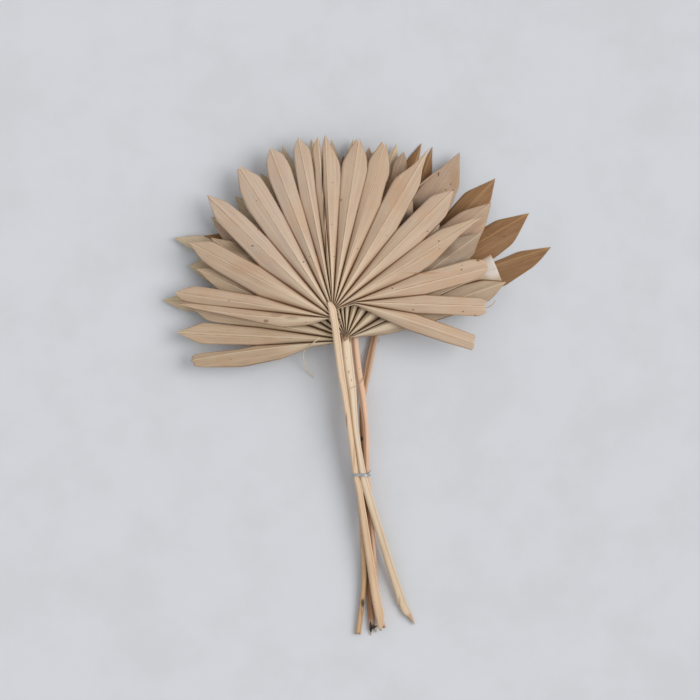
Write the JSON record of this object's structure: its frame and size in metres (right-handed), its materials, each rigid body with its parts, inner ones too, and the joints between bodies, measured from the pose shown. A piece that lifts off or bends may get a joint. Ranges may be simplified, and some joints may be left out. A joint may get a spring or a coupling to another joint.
{
  "type": "dried fan palm leaf bunch",
  "caption": "Bunch of dried, pleated fan palm leaves cut to points, on their own stems and held together by a flat metal tie, lying on a surface.",
  "frame": {"origin": "middle of the bunch's outline in plan, on the surface that it lies on", "axes": "+Y runs from the cut stem ends to the leaf tips, +X is the bunch's right as seen from above with the tips up, +Z points away from the surface"},
  "size_m": [0.3862, 0.4995, 0.0448],
  "materials": {
    "leaf_front": "matt dried leaf, warm straw",
    "leaf_second": "matt dried leaf, greyish straw",
    "leaf_middle": "matt dried leaf, greyish tan",
    "leaf_fourth": "matt dried leaf, greenish tan",
    "leaf_back": "satin dried leaf, dark brown",
    "tie_metal": "satin grey metal"
  },
  "bodies": {
    "root": {"leaf_front": "leaf_front", "leaf_second": "leaf_second", "leaf_middle": "leaf_middle", "leaf_fourth": "leaf_fourth", "leaf_back": "leaf_back", "tie": "tie_metal"}
  },
  "joints": []
}
